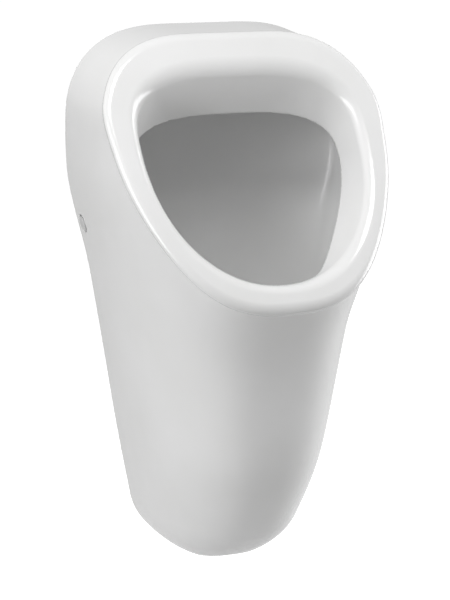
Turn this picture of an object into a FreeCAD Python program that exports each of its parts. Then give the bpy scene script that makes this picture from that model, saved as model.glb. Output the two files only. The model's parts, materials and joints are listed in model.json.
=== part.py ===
import FreeCAD, Part
import Sketcher
import math
import os
import re

# Wall hung urinal in glazed ceramic, with its fixings, water inlet and concealed trap.
# Millimetres. X to the right, front towards -Y, wall plane at y = 0, +Z up.
# The origin is the centre of the four wall screws, on the wall plane.

doc = FreeCAD.newDocument("wall_hung_urinal")
sheet = doc.addObject("Spreadsheet::Sheet", "Sizes")

SIZES = [
    # ceramic body: envelope
    ("overall_height", 600.0, "bottom of the body to its top at the wall"),
    ("top_fall", 8.2, "how much lower the top is at the sloping face than at the wall"),
    ("outlet_height", 115.0, "bottom of the body up to the waste outlet axis"),
    ("top_depth", 86.0, "top, from the wall to the start of the sloping face"),
    ("lip_height", 338.0, "bottom of the body up to the front lip"),
    ("lip_depth", 259.0, "wall to the front lip"),
    ("top_flat_half_width", 32.0, "half width of the straight middle of the top"),
    ("arch_room", 1.5, "how much wider the arched top starts than the sides"),
    ("shell_wall", 12.0, "thickness of the outer ceramic wall"),
    ("bowl_wall", 10.0, "thickness of the bowl wall"),
    ("bottom_radius", 66.0, "rounding of the bottom edge"),
    # ceramic body: half widths and depths at each level, from the bottom up
    ("bottom_half_width", 77.0, "level of the bottom, before its edge is rounded"),
    ("bottom_depth", 119.0, "level of the bottom, before its edge is rounded"),
    ("lower_height", 158.0, "level of the lower body"),
    ("lower_half_width", 105.0, "half width at the lower body"),
    ("lower_depth", 211.0, "depth at the lower body"),
    ("middle_height", 245.0, "level of the middle body"),
    ("middle_half_width", 118.0, "half width at the middle body"),
    ("middle_depth", 225.0, "depth at the middle body"),
    ("waist_height", 297.0, "level under the flare of the lip"),
    ("waist_half_width", 126.0, "half width under the flare"),
    ("waist_depth", 233.0, "depth under the flare"),
    ("lip_half_width", 132.5, "half width under the rim, at the level of the lip"),
    ("lip_back", 7.0, "how far the body stands back from the rim at the lip"),
    ("shoulder_height", 468.0, "level where the sides stop widening"),
    ("shoulder_half_width", 156.8, "widest half width of the body"),
    ("shoulder_reach", 300.0, "depth that the sides would have at the shoulder"),
    ("top_reach", 343.0, "depth that the sides would have at the top"),
    # the rolled rim around the sloping face
    ("rim_thickness", 14.0, "rim, square to the face"),
    ("rim_proud", 7.0, "how far the rim stands out of the sides at the lip"),
    ("rim_fade_height", 450.0, "level where the rim has nearly run into the sides"),
    ("rim_least", 2.2, "how far the rim still stands out above that level"),
    # the sloping face: the dished band, the funnel and the opening
    ("band_top", 37.0, "face band above the funnel, down the slope"),
    ("band_bottom", 26.0, "face band below the funnel"),
    ("funnel_half_width", 121.0, "half width of the funnel's upper edge"),
    ("funnel_widest", 119.0, "slope distance from the top crease to the widest point"),
    ("funnel_depth", 60.0, "depth of the whole funnel cone below the face"),
    ("funnel_inset_top", 41.0, "inward lean of the funnel flank at its top"),
    ("funnel_inset_side", 20.0, "inward lean of the funnel flank at its sides"),
    ("funnel_inset_bottom", 20.0, "inward lean of the funnel flank at the front lip"),
    ("skirt_depth_top", 46.0, "depth of the funnel skirt at the top"),
    ("skirt_depth_bottom", 6.0, "depth of the funnel skirt at the front lip"),
    ("skirt_bulge", 12.0, "how much deeper the skirt is half way down its sides"),
    ("skirt_wall", 9.0, "thickness of the funnel skirt"),
    ("face_edge_radius", 5.0, "rounding of the outer edge of the face"),
    ("crease_radius", 6.0, "rounding between band and funnel"),
    # bowl cavity
    ("bowl_floor", 173.0, "level of the bowl floor at the outlet"),
    ("bowl_top", 553.0, "level of the highest point of the bowl cavity"),
    ("bowl_back", 34.0, "bowl back surface to the wall"),
    ("drain_distance", 78.0, "wall to the vertical axis of the trap"),
    ("bowl_floor_radius", 42.0, "radius of the bowl floor"),
    # water inlet through the back of the bowl
    ("inlet_height", 526.0, "bottom of the body up to the water inlet axis"),
    ("inlet_hole_radius", 17.5, "hole in the bowl's back wall"),
    ("stem_radius", 16.0, "threaded stem of the flush spreader"),
    ("stem_bore", 13.0, "socket in the stem for the inlet pipe and its seal"),
    ("jet_bore", 7.0, "bore that feeds the spreader's head"),
    ("spreader_flange_radius", 21.0, "spreader flange on the bowl's back wall"),
    ("spreader_flange", 4.0, "thickness of the spreader flange"),
    ("spreader_head_radius", 16.0, "radius of the spreader's head"),
    ("spreader_head", 14.0, "length of the spreader's head in front of its flange"),
    ("gasket", 1.5, "thickness of a flat rubber gasket"),
    ("locknut_width", 42.0, "spreader locknut, across flats"),
    ("locknut", 7.0, "thickness of the spreader locknut"),
    ("inlet_spigot_radius", 10.0, "supply pipe in its seal, in front of the wall plane"),
    ("inlet_pipe_radius", 10.5, "supply pipe, outside, half inch thread"),
    ("inlet_pipe_wall", 2.5, "supply pipe wall"),
    ("inlet_pipe_in_wall", 45.0, "supply pipe behind the wall plane"),
    # waste outlet: trap hung under the bowl floor
    ("drain_hole_radius", 30.0, "hole in the bowl floor"),
    ("housing_radius", 32.0, "trap housing, outside"),
    ("housing_wall", 2.5, "trap housing wall"),
    ("housing_chamfer", 10.0, "slope around the foot of the trap housing"),
    ("housing_flange_radius", 39.0, "trap housing flange under the bowl floor"),
    ("housing_flange", 4.0, "thickness of the housing flange"),
    ("housing_depth", 121.0, "bowl floor underside down to the foot of the housing"),
    ("clamp_flange_radius", 37.0, "clamp flange on the bowl floor"),
    ("clamp_flange", 3.0, "thickness of the clamp flange"),
    ("neck_radius", 28.0, "threaded neck of the clamp flange"),
    ("neck_wall", 2.2, "wall of the clamp flange neck"),
    ("neck_length", 30.0, "length of the clamp flange neck"),
    ("dip_tube_radius", 24.5, "dip tube, outside"),
    ("dip_tube_wall", 2.5, "dip tube wall"),
    ("dip_tube_depth", 120.0, "clamp flange down to the lower end of the dip tube"),
    ("dip_collar_radius", 31.0, "collar of the dip tube"),
    ("dip_collar", 3.0, "thickness of the dip tube's collar"),
    ("seal_radius", 1.2, "cord radius of the dip tube's ring seal"),
    ("strainer_radius", 30.0, "strainer rim"),
    ("strainer_plate", 1.6, "thickness of the strainer's plate"),
    ("strainer_crown", 3.0, "height of the strainer's crown above its rim"),
    ("strainer_hole_radius", 2.2, "each hole of the strainer"),
    ("pipe_radius", 25.0, "waste pipe, outside"),
    ("pipe_front_radius", 26.0, "waste pipe in front of the wall plane, outside"),
    ("pipe_shoulder", 1.0, "wall to the shoulder where the waste pipe gets thinner"),
    ("pipe_wall", 2.5, "waste pipe wall"),
    ("pipe_in_wall", 60.0, "waste pipe behind the wall plane"),
    ("union_radius", 33.0, "union nut, outside"),
    ("collar_radius", 37.0, "rubber wall collar, outside"),
    ("collar_width", 11.0, "rubber wall collar, along the pipe"),
    # side fixings
    ("fixing_height", 390.0, "bottom of the body up to the side fixings"),
    ("fixing_distance", 20.0, "wall to the axis of the side fixings"),
    ("cap_radius", 8.5, "cover cap, outside"),
    ("cap_recess_radius", 9.0, "recess for the cover cap in the body's side"),
    ("cap_recess", 7.0, "depth of that recess"),
    ("seat_depth", 11.5, "body's side surface to the bracket's flat seat inside"),
    ("clamp_screw_radius", 3.0, "side clamping screw shank"),
    ("clamp_screw_length", 18.0, "side clamping screw, under its head"),
    ("bracket_steel", 3.0, "thickness of the bracket"),
    ("bracket_height", 60.0, "height of the bracket"),
    ("bracket_side", 36.0, "bracket leg along the body's side"),
    ("bracket_back", 46.0, "bracket leg along the wall"),
    ("anchor_spacing", 34.0, "between the two wall screws of a bracket"),
    ("anchor_inset", 27.0, "bracket's outer face to its wall screws"),
    ("anchor_radius", 4.0, "wall screw shank"),
    ("anchor_length", 40.0, "wall screw, under its head"),
    ("plug_radius", 6.0, "wall plug, outside"),
    ("plug_length", 80.0, "wall plug, with its solid tip"),
    ("plug_bore", 36.0, "depth of the bore of the wall plug"),
    ("cap_plate", 2.5, "thickness of a cover cap's plate"),
    ("cap_proud", 0.9, "how far a cover cap stands out of the body's side"),
    ("cap_skirt", 3.6, "length of a cover cap's skirt"),
    ("cap_skirt_wall", 1.5, "wall of a cover cap's skirt"),
    ("sleeve_radius", 6.2, "plastic sleeve in the body's side, outside"),
    ("sleeve_flange", 1.2, "thickness of the sleeve's flange"),
    ("clamp_head_radius", 5.0, "head of the side clamping screw"),
    ("clamp_head", 3.2, "height of that head"),
    ("clamp_nut_width", 10.0, "clamping nut, across flats"),
    ("clamp_nut", 5.0, "thickness of the clamping nut"),
    ("washer_radius", 9.0, "wall screw washer"),
    ("washer", 1.6, "thickness of that washer"),
    ("anchor_head_width", 13.0, "wall screw head, across flats"),
    ("anchor_head", 5.5, "height of that head"),
    ("union_length", 24.0, "union nut, along the pipe"),
    ("union_lip", 3.7, "lip of the union nut behind the pipe's collar"),
    ("pipe_collar_radius", 27.6, "collar at the front end of the waste pipe"),
    ("pipe_collar", 4.0, "thickness of that collar"),
    ("pipe_start", 28.0, "wall to the front end of the waste pipe"),
    ("socket_radius", 28.2, "threaded side socket of the trap housing"),
    ("stem_rear", 6.0, "wall to the rear end of the spreader's stem"),
    ("stem_socket", 18.0, "depth of the socket in the stem"),
    ("inlet_pipe_front", 22.0, "wall to the front end of the supply pipe"),
    ("inlet_seal_rear", 8.0, "wall to the rear face of the inlet seal"),
    ("inlet_seal", 10.0, "length of the inlet seal"),
    ("strainer_spigot", 8.0, "strainer's spigot in the dip tube"),
    ("strainer_wall", 1.6, "wall of that spigot"),
    # clearances
    ("running_gap", 0.3, "between parts that come apart by hand"),
    ("thread_gap", 0.15, "between a thread and its partner"),
]

for row, (alias, value, note) in enumerate(SIZES, start=1):
    sheet.set(f"A{row}", alias)
    sheet.set(f"B{row}", str(value))
    sheet.set(f"C{row}", note)
    sheet.setAlias(f"B{row}", alias)
doc.recompute()


def size(alias):
    return float(getattr(sheet, alias))


def amount(text):
    """The number that a sum of sizes comes to, such as 'pipe_radius - pipe_wall'."""
    total = 0.0
    for sign, term in re.findall(r"([+-]?)\s*([\w.]+)", text):
        value = float(term) if term[0].isdigit() else size(term)
        total += -value if sign == "-" else value
    return total


def bind(target, prop, text):
    """Tie a property or constraint to a sum of sizes of the sheet."""
    target.setExpression(prop, re.sub(r"[a-z][a-z_]*", lambda m: "Sizes." + m.group(0), text))


BASE = -size("fixing_height")
FACE_START = size("overall_height") - size("top_fall")
FACE_DROP = FACE_START - size("lip_height")
FACE_REACH = size("lip_depth") - size("top_depth")
FACE_TILT = math.degrees(math.atan2(FACE_DROP, FACE_REACH))
SLOPE_LENGTH = math.hypot(FACE_DROP, FACE_REACH)
FACE_PLACEMENT = FreeCAD.Placement(
    FreeCAD.Vector(0, -size("top_depth"), BASE + FACE_START),
    FreeCAD.Rotation(FreeCAD.Vector(1, 0, 0), FACE_TILT))
BIG = 2 * size("overall_height")
CURVE_POINTS = 24
ARCH_ROUNDNESS = 2.8
LOFT_DEGREE = 3


def superellipse_arc(half_width, reach, power, count=CURVE_POINTS):
    """Points of |x/half_width|^power + |y/reach|^power = 1, from -x round to +x."""
    points = []
    for step in range(count + 1):
        angle = math.pi * step / count
        cosine = math.cos(angle)
        x = -math.copysign(abs(cosine) ** (2 / power), cosine) * half_width
        y = abs(math.sin(angle)) ** (2 / power) * reach
        points.append((x, y))
    return points


def monotone_curve(knots):
    """Smooth curve through (position, value) pairs that never overshoots them."""
    spans = [b[0] - a[0] for a, b in zip(knots, knots[1:])]
    slopes = [(b[1] - a[1]) / span for a, b, span in zip(knots, knots[1:], spans)]
    tangents = [slopes[0]]
    for k in range(1, len(slopes)):
        before, after = slopes[k - 1], slopes[k]
        if before * after <= 0:
            tangents.append(0.0)
            continue
        w_before = 2 * spans[k] + spans[k - 1]
        w_after = spans[k] + 2 * spans[k - 1]
        tangents.append((w_before + w_after) / (w_before / before + w_after / after))
    tangents.append(slopes[-1])

    def value(position):
        position = min(max(position, knots[0][0]), knots[-1][0])
        k = 0
        while k < len(spans) - 1 and position > knots[k + 1][0]:
            k += 1
        t = (position - knots[k][0]) / spans[k]
        return (knots[k][1] * (1 + 2 * t) * (1 - t) ** 2
                + knots[k + 1][1] * t * t * (3 - 2 * t)
                + spans[k] * (tangents[k] * t * (1 - t) ** 2
                              + tangents[k + 1] * t * t * (t - 1)))

    return value


# ---------------------------------------------------------------- ceramic body

# level, half width, depth and superellipse power of the outline there
LEVELS = [
    (0.0, size("bottom_half_width"), size("bottom_depth"), 2.3),
    (size("lower_height"), size("lower_half_width"), size("lower_depth"), 2.5),
    (size("middle_height"), size("middle_half_width"), size("middle_depth"), 2.6),
    (size("waist_height"), size("waist_half_width"), size("waist_depth"), 2.65),
    (size("lip_height"), size("lip_half_width"), size("lip_depth") - size("lip_back"), 2.7),
    (size("shoulder_height"), size("shoulder_half_width"), size("shoulder_reach"), 2.8),
    (size("overall_height"), size("shoulder_half_width"), size("top_reach"), 2.9),
]
half_width_at = monotone_curve([(row[0], row[1]) for row in LEVELS])
depth_at = monotone_curve([(row[0], row[2]) for row in LEVELS])
roundness_at = monotone_curve([(row[0], row[3]) for row in LEVELS])
rim_growth_at = monotone_curve([
    (0.0, size("rim_proud")), (size("lip_height"), size("rim_proud")),
    (size("rim_fade_height"), size("rim_least")), (size("overall_height"), size("rim_least"))])


BOTTOM_STEP = 12
SIDE_STATIONS = 26
TOP_ROOM = 8.0
OUTSIDE_START = 6
HOLLOW_START = 30
REAR_ROOM = 4.0


def edge_shrink(height):
    """How far the rounded bottom edge draws the body in at this height."""
    radius = size("bottom_radius")
    if height >= radius:
        return 0.0
    return radius - math.sqrt(radius ** 2 - (radius - height) ** 2)


def spline_edge(points):
    curve = Part.BSplineCurve()
    curve.interpolate(Points=points, Parameters=[float(k) for k in range(len(points))])
    return curve.toShape()


def d_section(half_width, depth, power, level):
    """A D on its side, its straight edge behind the wall plane and its round end in front."""
    arc = [FreeCAD.Vector(x, REAR_ROOM - y, level)
           for x, y in superellipse_arc(half_width, depth + REAR_ROOM, power)]
    return Part.Wire([spline_edge(arc), Part.makeLine(arc[-1], arc[0])])


def body_stations(first_angle):
    """Heights of the sections, closer together where the bottom edge turns."""
    radius = size("bottom_radius")
    stations = [radius * (1 - math.cos(math.radians(angle)))
                for angle in range(first_angle, 90, BOTTOM_STEP)]
    rise = size("overall_height") + TOP_ROOM - radius
    stations += [radius + rise * k / SIDE_STATIONS for k in range(SIDE_STATIONS + 1)]
    return stations


def rounded_top(grow):
    """Everything under the arched top, which falls a little from the wall to the front."""
    flat = size("top_flat_half_width")
    half_width = size("shoulder_half_width") + size("arch_room") + grow
    rise = size("overall_height") - size("shoulder_height") + grow
    fall = size("top_fall") / size("top_depth")
    shoulder = BASE + size("shoulder_height") + fall * REAR_ROOM
    arc = superellipse_arc(half_width - flat, rise, ARCH_ROUNDNESS)
    middle = len(arc) // 2
    left = [FreeCAD.Vector(x - flat, REAR_ROOM, shoulder + y) for x, y in arc[:middle + 1]]
    right = [FreeCAD.Vector(x + flat, REAR_ROOM, shoulder + y) for x, y in arc[middle:]]
    foot = [FreeCAD.Vector(side * half_width, REAR_ROOM, -BIG) for side in (1, -1)]
    outline = Part.Wire([spline_edge(left), Part.makeLine(left[-1], right[0]),
                         spline_edge(right), Part.makeLine(right[-1], foot[0]),
                         Part.makeLine(foot[0], foot[1]), Part.makeLine(foot[1], left[0])])
    return Part.Face(outline).extrude(FreeCAD.Vector(0, -BIG, -fall * BIG))


def body_sides(inset_at, grow, first_angle=OUTSIDE_START):
    """The whole body before the sloping face is cut, set inwards by an amount per level."""
    wires = []
    for height in body_stations(first_angle):
        shrink = edge_shrink(height) + inset_at(height)
        level = BASE + height + inset_at(height) * max(0.0, 1 - height / size("bottom_radius"))
        wires.append(d_section(half_width_at(height) - shrink, depth_at(height) - shrink,
                               roundness_at(height), level))
    sides = Part.makeLoft(wires, True, False, False, LOFT_DEGREE)
    return sides.common(rounded_top(grow))


def in_front_of_wall():
    return Part.makeBox(2 * BIG, BIG, 2 * BIG, FreeCAD.Vector(-BIG, -BIG, -BIG))


def rim_solid():
    """The rolled rim: the sides once more, a little further out, close under the face."""
    grown = body_sides(lambda height: -rim_growth_at(height), size("rim_least"))
    slab = Part.makeBox(2 * BIG, 2 * BIG, size("rim_thickness"),
                        FreeCAD.Vector(-BIG, -BIG, -size("rim_thickness")))
    slab.Placement = FACE_PLACEMENT
    return grown.common(slab)


def below_face(depth):
    """Everything behind the sloping face, from a given depth under its surface."""
    block = Part.makeBox(2 * BIG, 2 * BIG, BIG, FreeCAD.Vector(-BIG, -BIG, -BIG - depth))
    block.Placement = FACE_PLACEMENT
    return block


def closed_wire(points):
    curve = Part.BSplineCurve()
    curve.interpolate(Points=points, PeriodicFlag=True,
                      Parameters=[float(k) for k in range(len(points) + 1)])
    return Part.Wire([curve.toShape()])


FUNNEL_TOP_ROUNDNESS = 3.0
FUNNEL_BOTTOM_ROUNDNESS = 2.2
BOWL_REAR_ROUNDNESS = 2.6
BOWL_FRONT_ROUNDNESS = 2.3


def face_ring(depth, top, bottom, half_width, widest):
    """Closed egg outline parallel to the face: flat-topped above, rounder below."""
    upper = superellipse_arc(half_width, widest - top, FUNNEL_TOP_ROUNDNESS)
    lower = superellipse_arc(half_width, bottom - widest, FUNNEL_BOTTOM_ROUNDNESS)
    points = [FreeCAD.Vector(x, -widest + y, -depth) for x, y in upper]
    points += [FreeCAD.Vector(x, -widest - y, -depth) for x, y in reversed(lower)][1:-1]
    wire = closed_wire(points)
    wire.Placement = FACE_PLACEMENT
    return wire


def funnel_cone(grow, start):
    """The funnel's flank, from above the face down to its full depth."""
    depth = size("funnel_depth")
    rings = []
    for level in (start, depth):
        share = level / depth
        top = size("band_top") + size("funnel_inset_top") * share - grow
        bottom = SLOPE_LENGTH - size("band_bottom") - size("funnel_inset_bottom") * share + grow
        half_width = size("funnel_half_width") - size("funnel_inset_side") * share + grow
        rings.append(face_ring(level, top, bottom, half_width, size("funnel_widest")))
    return Part.makeLoft(rings, True, True)


BOWL_DOME = 38.0
BOWL_DOME_SHRINK = 42.0
BOWL_DOME_ANGLES = (0, 22, 42, 60, 76)
BOWL_STATIONS = 18
BOWL_GAP = 14.0


def bowl_levels():
    """(height, half width, back, front, depth of the curved back), from the floor up."""
    floor, back = size("bowl_floor"), size("bowl_back")
    radius, centre = size("bowl_floor_radius"), size("drain_distance")
    shoulder_width = size("shoulder_half_width") - BOWL_GAP
    shoulder_front = size("lip_depth") + 20
    return [
        (floor, radius, centre - radius + 4, centre + radius, 38.0),
        (floor + 14, radius + 16, centre - radius + 1, centre + radius + 22, 42.0),
        (floor + 44, radius + 36, back, centre + radius + 54, 48.0),
        (floor + 92, radius + 60, back, centre + radius + 82, 54.0),
        (size("waist_height") + 20, size("waist_half_width") - BOWL_GAP + 4, back,
         size("waist_depth") - BOWL_GAP + 5, 60.0),
        (size("lip_height") + 10, size("lip_half_width") - BOWL_GAP + 2, back,
         size("lip_depth") - size("lip_back") - BOWL_GAP + 4, 60.0),
        (size("shoulder_height"), shoulder_width, back, shoulder_front, 60.0),
        (size("bowl_top") - BOWL_DOME, shoulder_width - 4, back, shoulder_front, 60.0),
    ]


def bowl_stations(grow):
    """Sections of the bowl cavity, or of its outside when it grows by the wall."""
    knots = bowl_levels()
    curves = [monotone_curve([(row[0], row[k]) for row in knots])
              for k in range(1, len(knots[0]))]
    floor, top = size("bowl_floor"), size("bowl_top")
    dome = top - BOWL_DOME
    stations = []
    for k in range(BOWL_STATIONS):
        height = floor + (dome - floor) * k / BOWL_STATIONS
        stations.append([height] + [curve(height) for curve in curves])
    half_width, rear, front, back_curve = knots[-1][1:]
    for angle in BOWL_DOME_ANGLES:
        rise = math.sin(math.radians(angle))
        draw_in = 1 - math.cos(math.radians(angle))
        stations.append([dome + BOWL_DOME * rise,
                         half_width - BOWL_DOME_SHRINK * draw_in,
                         rear + BOWL_DOME_SHRINK / 3 * draw_in,
                         front - BOWL_DOME_SHRINK * draw_in, back_curve])
    result = []
    for height, half_width, rear, front, back_curve in stations:
        level = height + grow * (2 * (height - floor) / (top - floor) - 1)
        result.append((level, half_width + grow, rear - grow, front + grow, back_curve))
    return result


def bowl_section(height, half_width, back, front, back_curve):
    """Closed outline: gently rounded at the back, a half ellipse to the front."""
    middle = back + back_curve
    rear = superellipse_arc(half_width, back_curve, BOWL_REAR_ROUNDNESS)
    fore = superellipse_arc(half_width, front - middle, BOWL_FRONT_ROUNDNESS)
    level = BASE + height
    points = [FreeCAD.Vector(x, -middle + y, level) for x, y in rear]
    points += [FreeCAD.Vector(x, -middle - y, level) for x, y in reversed(fore)][1:-1]
    return closed_wire(points)


def bowl_solid(grow):
    wires = [bowl_section(*station) for station in bowl_stations(grow)]
    return Part.makeLoft(wires, True, False, False, LOFT_DEGREE)


SKIRT_STEPS = 12
SKIRT_POWER = 6


def skirt_block():
    """Everything in front of the curved sheet that the skirt's lower edge lies in."""
    lean = size("funnel_inset_top") * size("skirt_depth_top") / size("funnel_depth")
    top = size("band_top") + lean
    bottom = SLOPE_LENGTH - size("band_bottom")
    fall = size("skirt_depth_top") - size("skirt_depth_bottom")
    edge = []
    for k in range(SKIRT_STEPS + 1):
        share = k / SKIRT_STEPS
        depth = size("skirt_depth_top") - fall * share ** SKIRT_POWER
        depth += size("skirt_bulge") * 4 * share * (1 - share)
        edge.append(FreeCAD.Vector(-BIG, -top - (bottom - top) * share, -depth))
    sheet_edge = spline_edge(edge)
    corners = [edge[-1], FreeCAD.Vector(-BIG, -BIG, edge[-1].z), FreeCAD.Vector(-BIG, -BIG, BIG),
               FreeCAD.Vector(-BIG, BIG, BIG), FreeCAD.Vector(-BIG, BIG, edge[0].z), edge[0]]
    sides = [Part.makeLine(a, b) for a, b in zip(corners, corners[1:])]
    block = Part.Face(Part.Wire([sheet_edge] + sides)).extrude(FreeCAD.Vector(2 * BIG, 0, 0))
    block.Placement = FACE_PLACEMENT
    return block


# ------------------------------------------------------- building blocks

UP = FreeCAD.Vector(0, 0, 1)
TO_WALL = FreeCAD.Vector(0, 1, 0)
TO_FRONT = FreeCAD.Vector(0, -1, 0)
ROOM = 1.0
NODES = []


def placed(position, direction=UP):
    return FreeCAD.Placement(position, FreeCAD.Rotation(UP, direction))


def node(thing):
    """Keep a finished piece for export under its own label."""
    NODES.append(thing)
    return thing


def turned(label, profile, placement):
    """A body of revolution about its own Z axis; each corner is (radius, height) in sizes."""
    body = doc.addObject("PartDesign::Body", label)
    body.Label = label
    sketch = body.newObject("Sketcher::SketchObject", label + "_profile")
    plane = next(f for f in body.Origin.OriginFeatures if f.Role == "XZ_Plane")
    sketch.AttachmentSupport = (plane, [""])
    sketch.MapMode = "FlatFace"
    corners = [FreeCAD.Vector(amount(r), amount(h), 0) for r, h in profile]
    count = len(corners)
    for k in range(count):
        sketch.addGeometry(Part.LineSegment(corners[k], corners[(k + 1) % count]), False)
    for k in range(count):
        sketch.addConstraint(Sketcher.Constraint("Coincident", k, 2, (k + 1) % count, 1))
    for k, (radius, height) in enumerate(profile):
        if radius == "0":
            sketch.addConstraint(Sketcher.Constraint("PointOnObject", k, 1, -2))
        else:
            name = f"radius_{k}"
            index = sketch.addConstraint(
                Sketcher.Constraint("DistanceX", -1, 1, k, 1, corners[k].x))
            sketch.renameConstraint(index, name)
            bind(sketch, "Constraints." + name, radius)
        if height == "0":
            sketch.addConstraint(Sketcher.Constraint("PointOnObject", k, 1, -1))
        else:
            name = f"height_{k}"
            index = sketch.addConstraint(
                Sketcher.Constraint("DistanceY", -1, 1, k, 1, corners[k].y))
            sketch.renameConstraint(index, name)
            bind(sketch, "Constraints." + name, height)
    turn = body.newObject("PartDesign::Revolution", label + "_turn")
    turn.Profile = sketch
    turn.ReferenceAxis = (sketch, ["V_Axis"])
    turn.Angle = 360
    body.Tip = turn
    body.Placement = placement
    return body


def ring(label, inside, outside, length, placement):
    profile = [(inside, "0"), (outside, "0"), (outside, length), (inside, length)]
    return turned(label, profile, placement)


def cylinder(name, radius, length, placement):
    rod = doc.addObject("Part::Cylinder", name)
    bind(rod, "Radius", radius)
    bind(rod, "Height", length)
    rod.Placement = placement
    return rod


def box(name, length, width, height, placement):
    block = doc.addObject("Part::Box", name)
    bind(block, "Length", length)
    bind(block, "Width", width)
    bind(block, "Height", height)
    block.Placement = placement
    return block


def hexagon(name, across_flats, height, placement):
    prism = doc.addObject("Part::Prism", name)
    prism.Polygon = 6
    prism.setExpression("Circumradius", f"Sizes.{across_flats} / sqrt(3)")
    bind(prism, "Height", height)
    prism.Placement = placement
    return prism


def joined(name, pieces):
    fuse = doc.addObject("Part::MultiFuse", name)
    fuse.Shapes = pieces
    return fuse


def less(name, base, tool):
    cut = doc.addObject("Part::Cut", name)
    cut.Base = base
    cut.Tool = tool
    cut.Label = name
    return cut


def copies(label, source, placements):
    """Identical pieces as one group of separate solids."""
    doc.recompute()
    solids = []
    for placement in placements:
        solid = source.Shape.copy()
        solid.Placement = placement
        solids.append(solid)
    feature = doc.addObject("Part::Feature", label)
    feature.Shape = Part.makeCompound(solids)
    feature.Label = label
    return feature


# ---------------------------------------------------------------- places

def height(alias):
    return BASE + size(alias)


DRAIN_Y = -size("drain_distance")
FLOOR_Z = height("bowl_floor")
UNDERSIDE_Z = FLOOR_Z - size("bowl_wall")
INLET_Z = height("inlet_height")
OUTLET_Z = height("outlet_height")
GASKET = size("gasket")


def on_drain(level, direction=UP):
    return placed(FreeCAD.Vector(0, DRAIN_Y, level), direction)


def on_inlet(y, direction=TO_FRONT):
    return placed(FreeCAD.Vector(0, y, INLET_Z), direction)


def on_outlet(y, direction=TO_WALL):
    return placed(FreeCAD.Vector(0, y, OUTLET_Z), direction)


FIXING_HEIGHT = size("fixing_height")
SIDE_SLOPE = half_width_at(FIXING_HEIGHT + ROOM) - half_width_at(FIXING_HEIGHT - ROOM)
SIDE_LEAN = math.degrees(math.atan(SIDE_SLOPE / (2 * ROOM)))
SIDE_FRAME = FreeCAD.Placement(
    FreeCAD.Vector(half_width_at(FIXING_HEIGHT), -size("fixing_distance"),
                   height("fixing_height")),
    FreeCAD.Rotation(FreeCAD.Vector(0, 1, 0), SIDE_LEAN))
SIDE_OUT = SIDE_FRAME.Rotation.multVec(FreeCAD.Vector(1, 0, 0))


def on_side(side, depth, inward=False):
    """A place on the axis of a side fixing, a given depth under the body's surface."""
    point = SIDE_FRAME.multVec(FreeCAD.Vector(-depth, 0, 0))
    point.x *= side
    direction = FreeCAD.Vector(side * SIDE_OUT.x, 0, SIDE_OUT.z)
    if inward:
        direction = direction * -1
    return placed(point, direction)


RIGHT, LEFT = 1, -1


# ---------------------------------------------------------- ceramic body

FLATNESS = 0.05


def face_edges(shape, inner):
    """Edges that lie in the sloping face: the funnel's crease, or the outer edge."""
    to_face = FACE_PLACEMENT.inverse()
    limit = size("funnel_half_width") + ROOM
    found = []
    for edge in shape.Edges:
        points = [to_face.multVec(point) for point in edge.discretize(40)]
        if max(abs(point.z) for point in points) > FLATNESS:
            continue
        is_crease = (max(abs(point.x) for point in points) < limit
                     and max(point.y for point in points) < -ROOM)
        if is_crease == inner:
            found.append(edge)
    return found


def ceramic_hollow():
    """Space between the shell, the bowl and the funnel skirt, and the bowl cavity itself."""
    wall = size("shell_wall")
    inner = body_sides(lambda height: wall, -wall, HOLLOW_START).common(below_face(wall))
    bowl_shell = bowl_solid(size("bowl_wall")).cut(bowl_solid(0))
    skirt = funnel_cone(size("skirt_wall"), ROOM / 2).common(skirt_block())
    return inner.cut([bowl_shell, skirt])


def in_sheet(face, depth):
    """Whether a face lies flat in the plane that is this far under the sloping face."""
    to_face = FACE_PLACEMENT.inverse()
    levels = [to_face.multVec(point).z for edge in face.Edges for point in edge.discretize(9)]
    return max(abs(level + depth) for level in levels) < FLATNESS


def stepped(lower, upper, depth):
    """One solid from two that meet in a plane, where the upper one is larger all round."""
    lid = next(face for face in lower.Faces if in_sheet(face, depth))
    underside = next(face for face in upper.Faces if in_sheet(face, depth))
    faces = [face for face in lower.Faces + upper.Faces if not in_sheet(face, depth)]
    shell = Part.makeShell(faces + underside.cut(lid).Faces)
    shell.sewShape()
    return Part.Solid(shell)


def ceramic_blank():
    """The hollow casting with its dished face, before any hole is made in it."""
    funnel = funnel_cone(0, -2 * size("crease_radius"))
    thickness = size("rim_thickness")
    sides = body_sides(lambda height: 0.0, 0.0).common(in_front_of_wall())
    outside = stepped(sides.common(below_face(thickness)), rim_solid(), thickness)
    blank = outside.cut([ceramic_hollow(), funnel]).Solids[0]
    blank = blank.makeFillet(size("crease_radius"), face_edges(blank, True))
    return blank.makeFillet(size("face_edge_radius"), face_edges(blank, False))


drain_hole = cylinder("drain_hole", "drain_hole_radius", "bowl_wall + bowl_wall",
                      on_drain(UNDERSIDE_Z - size("bowl_wall") / 2))
inlet_hole = cylinder("inlet_hole", "inlet_hole_radius", "bowl_wall + bowl_wall",
                      on_inlet(-size("bowl_back") + size("bowl_wall") * 1.5))
inlet_seat = cylinder("inlet_seat", "spreader_flange_radius + running_gap", "bowl_wall",
                      on_inlet(-size("bowl_back")))
cap_recess = cylinder("cap_recess", "cap_recess_radius", "cap_recess + cap_recess",
                      on_side(RIGHT, size("cap_recess")))
screw_hole = cylinder("screw_hole", "sleeve_radius + running_gap", "shell_wall + shell_wall",
                      on_side(RIGHT, size("shell_wall") * 1.5))
seat_room = "bracket_side + running_gap"
seat = box("bracket_seat", "shell_wall", seat_room, "bracket_height + running_gap",
           SIDE_FRAME * FreeCAD.Placement(
               FreeCAD.Vector(-size("seat_depth") - size("shell_wall"),
                              size("fixing_distance") - size("bracket_side"),
                              -size("bracket_height") / 2),
               FreeCAD.Rotation()))
side_tools = joined("right_side_holes", [cap_recess, screw_hole, seat])
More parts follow.
